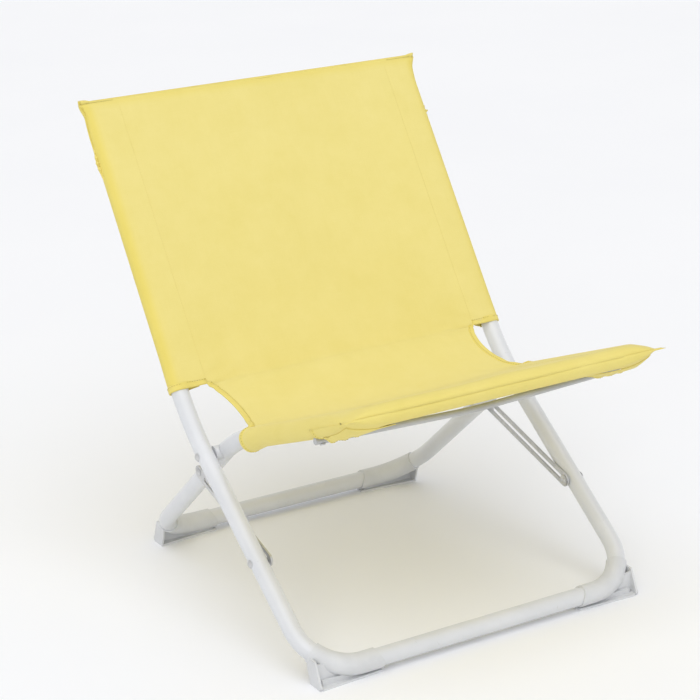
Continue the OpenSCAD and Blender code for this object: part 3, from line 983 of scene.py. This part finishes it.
def lacquer_material(name, low, high):
    mat, tree, shader = material(name)
    place = tree.nodes.new("ShaderNodeTexCoord")
    peel = noise_node(tree, place.outputs["Object"], 420.0, 3.0)
    broad = noise_node(tree, place.outputs["Object"], 14.0, 4.0)
    specks = noise_node(tree, place.outputs["Object"], 150.0, 6.0, 0.7)
    tone = ramp_node(tree, broad.outputs[0], [(0.3, low), (0.7, high)])
    scuff = ramp_node(tree, specks.outputs[0], [(0.30, (0.86, 0.85, 0.83)), (0.36, (1, 1, 1))])
    colour = mix_colour(tree, 1.0, tone.outputs[0], scuff.outputs[0], "MULTIPLY")
    tree.links.new(colour, shader.inputs["Base Color"])
    rough = to_range(tree, broad.outputs[0], 0.24, 0.4)
    tree.links.new(rough, shader.inputs["Roughness"])
    first = bump_node(tree, peel.outputs[0], 0.18, 0.0002)
    tree.links.new(bump_node(tree, specks.outputs[0], 0.05, 0.0003, first), shader.inputs["Normal"])
    shader.inputs["Coat Weight"].default_value = 0.35
    shader.inputs["Coat Roughness"].default_value = 0.18
    return mat


def plastic_material():
    mat, tree, shader = material("white_moulded_plastic")
    place = tree.nodes.new("ShaderNodeTexCoord")
    grain = noise_node(tree, place.outputs["Object"], 1300.0, 2.0)
    broad = noise_node(tree, place.outputs["Object"], 30.0, 4.0)
    tone = ramp_node(tree, broad.outputs[0], [(0.3, (0.63, 0.64, 0.655)), (0.7, (0.70, 0.71, 0.725))])
    tree.links.new(tone.outputs[0], shader.inputs["Base Color"])
    tree.links.new(to_range(tree, broad.outputs[0], 0.42, 0.6), shader.inputs["Roughness"])
    first = bump_node(tree, grain.outputs[0], 0.25, 0.00015)
    tree.links.new(bump_node(tree, broad.outputs[0], 0.15, 0.0015, first), shader.inputs["Normal"])
    shader.inputs["Specular IOR Level"].default_value = 0.4
    return mat


def zinc_material():
    mat, tree, shader = material("zinc_plated_steel")
    place = tree.nodes.new("ShaderNodeTexCoord")
    stretch = tree.nodes.new("ShaderNodeMapping")
    stretch.inputs["Scale"].default_value = (1.0, 0.08, 1.0)
    tree.links.new(place.outputs["Object"], stretch.inputs["Vector"])
    brush = noise_node(tree, stretch.outputs[0], 900.0, 4.0)
    cloud = noise_node(tree, place.outputs["Object"], 70.0, 5.0)
    tone = ramp_node(tree, cloud.outputs[0], [(0.3, (0.56, 0.565, 0.57)), (0.7, (0.68, 0.68, 0.675))])
    tree.links.new(tone.outputs[0], shader.inputs["Base Color"])
    shader.inputs["Metallic"].default_value = 0.75
    tree.links.new(to_range(tree, brush.outputs[0], 0.32, 0.55), shader.inputs["Roughness"])
    tree.links.new(bump_node(tree, brush.outputs[0], 0.12, 0.0001), shader.inputs["Normal"])
    return mat


def floor_material():
    mat, tree, shader = material("pale_floor")
    place = tree.nodes.new("ShaderNodeTexCoord")
    broad = noise_node(tree, place.outputs["Object"], 1.5, 3.0)
    tone = ramp_node(tree, broad.outputs[0], [(0.3, (0.925, 0.932, 0.955)), (0.7, (0.94, 0.946, 0.966))])
    tree.links.new(tone.outputs[0], shader.inputs["Base Color"])
    shader.inputs["Roughness"].default_value = 0.9
    shader.inputs["Specular IOR Level"].default_value = 0.1
    return mat


def put(obj, mat):
    obj.data.materials.clear()
    obj.data.materials.append(mat)


# ---------------------------------------------------------------- camera, fitted to the photo
CAMERA_LENS = 109.1
CAMERA_AT = (-1.43899, -2.41940, 1.29941)
CAMERA_RIGHT = (0.85949346, -0.51029926, -0.02942215)
CAMERA_UP = (0.18898907, 0.26377619, 0.94588861)
CAMERA_AHEAD = (0.4749254, 0.81854553, -0.32315489)


def build_camera():
    data = bpy.data.cameras.new("camera")
    data.sensor_width = 36.0
    data.lens = CAMERA_LENS
    data.clip_end = 90.0
    cam = bpy.data.objects.new("camera", data)
    bpy.context.scene.collection.objects.link(cam)
    rows = (Vector(CAMERA_RIGHT), Vector(CAMERA_UP), -Vector(CAMERA_AHEAD))
    turn = Matrix(rows).transposed().to_4x4()
    cam.matrix_world = Matrix.Translation(CAMERA_AT) @ turn
    bpy.context.scene.camera = cam


# ---------------------------------------------------------------- light and floor
def area_light(name, place, target, size, power):
    data = bpy.data.lights.new(name, "AREA")
    data.shape = "RECTANGLE"
    data.size, data.size_y = size
    data.energy = power
    obj = bpy.data.objects.new(name, data)
    bpy.context.scene.collection.objects.link(obj)
    obj.location = place
    aim = Vector(target) - Vector(place)
    obj.rotation_euler = aim.to_track_quat("-Z", "Y").to_euler()


WORLD_LIGHT = 0.66          # grey of the dome overhead
OVERHEAD_LIGHT = 1.15
KEY_LIGHT = 9
FLOOR_HALF = 30.0           # metres


def build_studio():
    size = FLOOR_HALF
    verts = [(-size, -size, 0), (size, -size, 0), (size, size, 0), (-size, size, 0)]
    floor = new_mesh("studio_floor", verts, [(0, 1, 2, 3)])
    put(floor, floor_material())
    world = bpy.data.worlds.new("studio")
    world.use_nodes = True
    sky = world.node_tree.nodes["Background"]
    sky.inputs["Strength"].default_value = 1.0
    # a studio dome, white at the horizon and greyer overhead
    tree = world.node_tree
    place = tree.nodes.new("ShaderNodeTexCoord")
    split = tree.nodes.new("ShaderNodeSeparateXYZ")
    tree.links.new(place.outputs["Generated"], split.inputs[0])
    grey = (WORLD_LIGHT, WORLD_LIGHT, WORLD_LIGHT)
    dome = ramp_node(tree, split.outputs[2], [(0.0, (1, 1, 1)), (0.22, grey)])
    tree.links.new(dome.outputs[0], sky.inputs["Color"])
    bpy.context.scene.world = world
    bpy.context.scene.view_settings.view_transform = "Standard"
    data = bpy.data.lights.new("overhead", "SUN")
    data.energy = OVERHEAD_LIGHT
    data.angle = radians(70)
    lamp = bpy.data.objects.new("overhead", data)
    bpy.context.scene.collection.objects.link(lamp)
    lamp.rotation_euler = Vector((0.25, 0.42, -1.0)).to_track_quat("-Z", "Y").to_euler()
    area_light("key", (-2.2, -2.4, 2.0), (0, 0, 0.3), (1.6, 1.6), KEY_LIGHT)


# ---------------------------------------------------------------- build
build_camera()
build_studio()

lacquer = lacquer_material("white_lacquer", (0.67, 0.685, 0.71), (0.73, 0.74, 0.76))
# painted shade: a darker copy of the white lacquer for the support bar, which lies in shade under the
# seat's front edge
bar_shaded_lacquer = lacquer_material("white_lacquer_painted_shade", (0.42, 0.43, 0.44), (0.52, 0.53, 0.54))
plastic = plastic_material()
zinc = zinc_material()
cloth_mat = cloth_material("sling_fabric", CLOTH_LIGHT, CLOTH_PAINTED_SHADE)
thread = thread_material("sewing_thread", (0.36, 0.28, 0.04), (0.46, 0.37, 0.07))
seam_thread = thread_material("seam_thread", (0.74, 0.62, 0.19), (0.80, 0.68, 0.24))
finish_of = {"lacquered_steel": lacquer, "white_plastic": plastic,
             "zinc_steel": zinc, "sling_fabric": cloth_mat}
for part in frame["record"]["subparts"]:
    put(frame["nodes"][part["node"]], finish_of[part["material_slot"]])
put(frame["nodes"]["support_bar"], bar_shaded_lacquer)

main = build_main()
top_pocket, top_place = build_top_pocket()
front_pocket, front_place = build_front_pocket()
top_lip = build_top_lip()
front_lip = build_front_lip()
trims = build_hems() + build_side_seams() + build_side_lips()
trims += build_pocket_hems(top_place, front_place) + build_corner_flaps() + build_ear_shade_threads()
trims += [("back", top_lip), ("seat", front_lip)]

for piece in [main, top_pocket, front_pocket] + [t for _, t in trims]:
    finish = cloth_mat
    if "thread" in piece.name:
        finish = thread
    elif piece.name.startswith(("back_seam", "seat_seam")):
        finish = seam_thread
    put(piece, finish)

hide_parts("sling_back", "sling_seat", "sling_web")
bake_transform(main)
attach(top_pocket, "back_frame")
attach(front_pocket, "seat_frame")
for where, piece in trims:
    if where == "web":
        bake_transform(piece)
    else:
        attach(piece, "back_frame" if where == "back" else "seat_frame")
